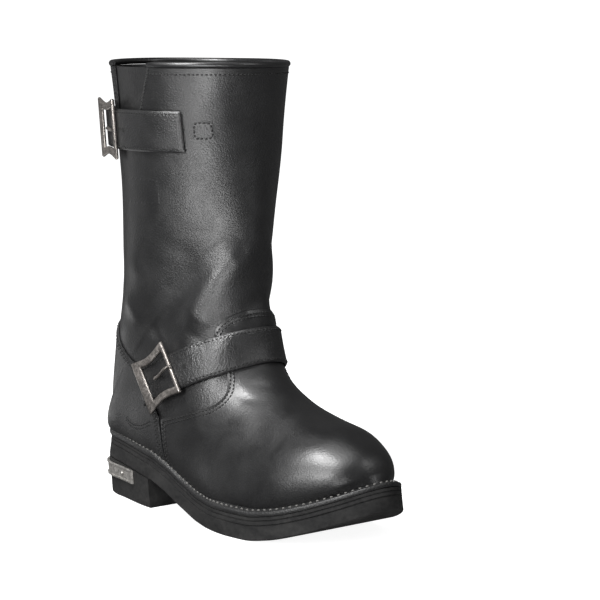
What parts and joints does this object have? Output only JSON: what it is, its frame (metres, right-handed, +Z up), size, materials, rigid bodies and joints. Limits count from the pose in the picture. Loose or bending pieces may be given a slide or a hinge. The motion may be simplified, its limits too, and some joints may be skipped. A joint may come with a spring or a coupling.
{
  "type": "engineer boot",
  "caption": "Pull-on leather engineer boot for the right foot, with a tall open shaft, buckled straps at ankle and collar, and a rubber sole with a stacked heel.",
  "frame": {"origin": "on the heel's flat bottom face, near the middle of the heel", "axes": "+X to the toe, +Y to the inner side of the foot, +Z up the shaft"},
  "size_m": [0.3058, 0.1316, 0.3456],
  "materials": {
    "sole_rubber": "matte, dusty",
    "welt_leather": "satin",
    "insole_leather": "plain",
    "black_leather": "satin, fine grain",
    "vamp_leather": "polished satin",
    "gusset_leather": "soft, dull",
    "buckle_metal": "antique nickel, satin"
  },
  "bodies": {
    "root": {"outsole": "sole_rubber", "heel_block": "sole_rubber", "heel_plate": "buckle_metal", "heel_plate_screw": "buckle_metal", "welt": "welt_leather", "insole": "insole_leather", "upper": "black_leather", "vamp": "vamp_leather", "heel_counter": "black_leather", "gusset": "gusset_leather", "collar_binding": "black_leather", "instep_strap": "black_leather", "top_strap": "black_leather", "instep_buckle": "buckle_metal", "instep_prong": "buckle_metal", "top_buckle": "buckle_metal", "top_prong": "buckle_metal"}
  },
  "joints": []
}
